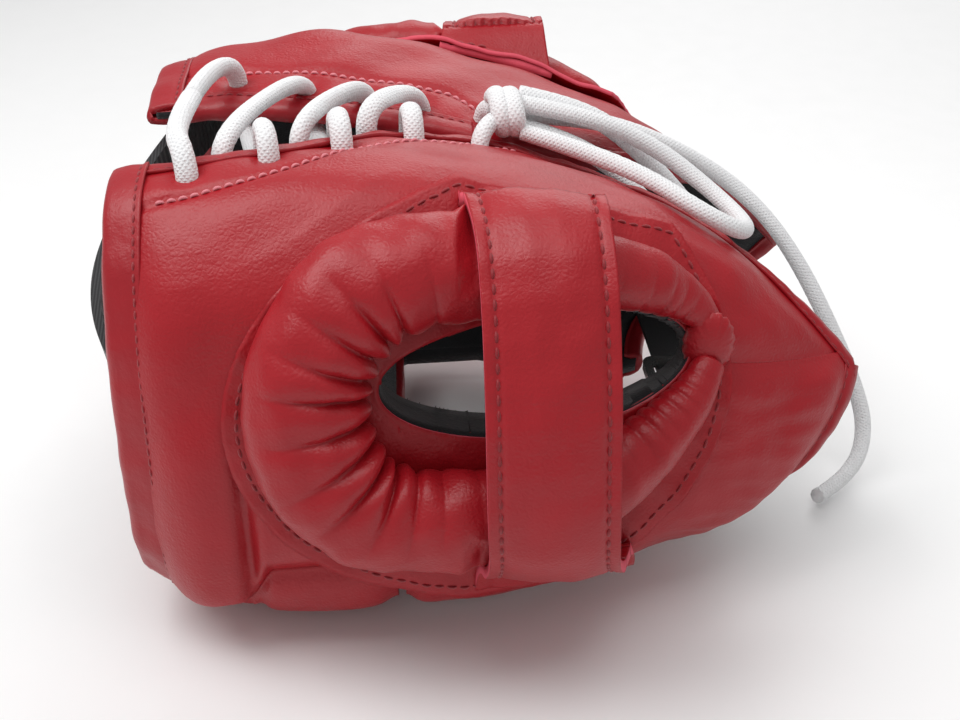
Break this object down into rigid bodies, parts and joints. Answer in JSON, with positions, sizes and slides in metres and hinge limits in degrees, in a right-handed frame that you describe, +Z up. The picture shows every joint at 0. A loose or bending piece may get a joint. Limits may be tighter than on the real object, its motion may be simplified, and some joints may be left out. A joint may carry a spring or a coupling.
{
  "type": "boxing headgear",
  "caption": "Padded lace-up sparring headgear with stuffed ear rings, ear straps, open face and crown, and a buckled chin strap, lying face down.",
  "frame": {"origin": "under the middle of the body's box, on the table it lies on", "axes": "+X from the crown opening to the chin, +Y to the wearer's right ear, +Z up to the back of the head"},
  "size_m": [0.2626, 0.2502, 0.1523],
  "materials": {
    "red_leather": "satin",
    "red_binding": "satin",
    "suede_lining": "matte",
    "foam": "matte",
    "lace": "matte",
    "black_webbing": "matte",
    "black_leather": "satin",
    "buckle_metal": "polished"
  },
  "bodies": {
    "headgear": {"bow_loop_far": "lace", "bow_loop_near": "lace", "brow_binding": "red_binding", "crown_strap": "black_webbing", "forehead_cover": "red_leather", "forehead_foam": "foam", "forehead_lining": "suede_lining", "forehead_rim_binding": "red_binding", "lace_knot": "lace", "lace_long_end": "lace", "lacing_strand_a": "lace", "lacing_strand_b": "lace", "left_cheek_cover": "red_leather", "left_cheek_foam": "foam", "left_cheek_lining": "suede_lining", "left_chin_root": "black_leather", "left_ear_flange": "red_leather", "left_ear_ring_core": "foam", "left_ear_ring_cover": "red_leather", "left_ear_ring_pinch": "red_leather", "left_ear_strap_back": "red_leather", "left_ear_strap_face": "red_leather", "left_jaw_binding": "red_binding", "left_lacing_binding": "red_binding", "left_neck_binding": "red_binding", "left_wing_cover": "red_leather", "left_wing_foam": "foam", "left_wing_lining": "suede_lining", "left_wing_rim_binding": "red_binding", "right_cheek_cover": "red_leather", "right_cheek_foam": "foam", "right_cheek_lining": "suede_lining", "right_chin_root": "black_leather", "right_ear_flange": "red_leather", "right_ear_ring_core": "foam", "right_ear_ring_cover": "red_leather", "right_ear_ring_pinch": "red_leather", "right_ear_strap_back": "red_leather", "right_ear_strap_face": "red_leather", "right_jaw_binding": "red_binding", "right_lacing_binding": "red_binding", "right_neck_binding": "red_binding", "right_wing_cover": "red_leather", "right_wing_foam": "foam", "right_wing_lining": "suede_lining", "right_wing_rim_binding": "red_binding"},
    "chin_strap": {"chin_strap": "black_leather", "buckle_tab": "black_leather", "buckle_frame": "buckle_metal", "strap_keeper": "black_leather"},
    "prong": {"buckle_prong": "buckle_metal"}
  },
  "joints": [
    {"name": "chin_strap_swing", "type": "hinge", "parent": "headgear", "child": "chin_strap", "pos_m": [0.07619, 0, 0.04616], "axis": [0, 1, 0], "range_deg": [-12, 12]},
    {"name": "buckle_prong_turn", "type": "hinge", "parent": "chin_strap", "child": "prong", "pos_m": [0.07619, -0.024, 0.04616], "axis": [1, 0, 0], "range_deg": [0, 10]}
  ]
}
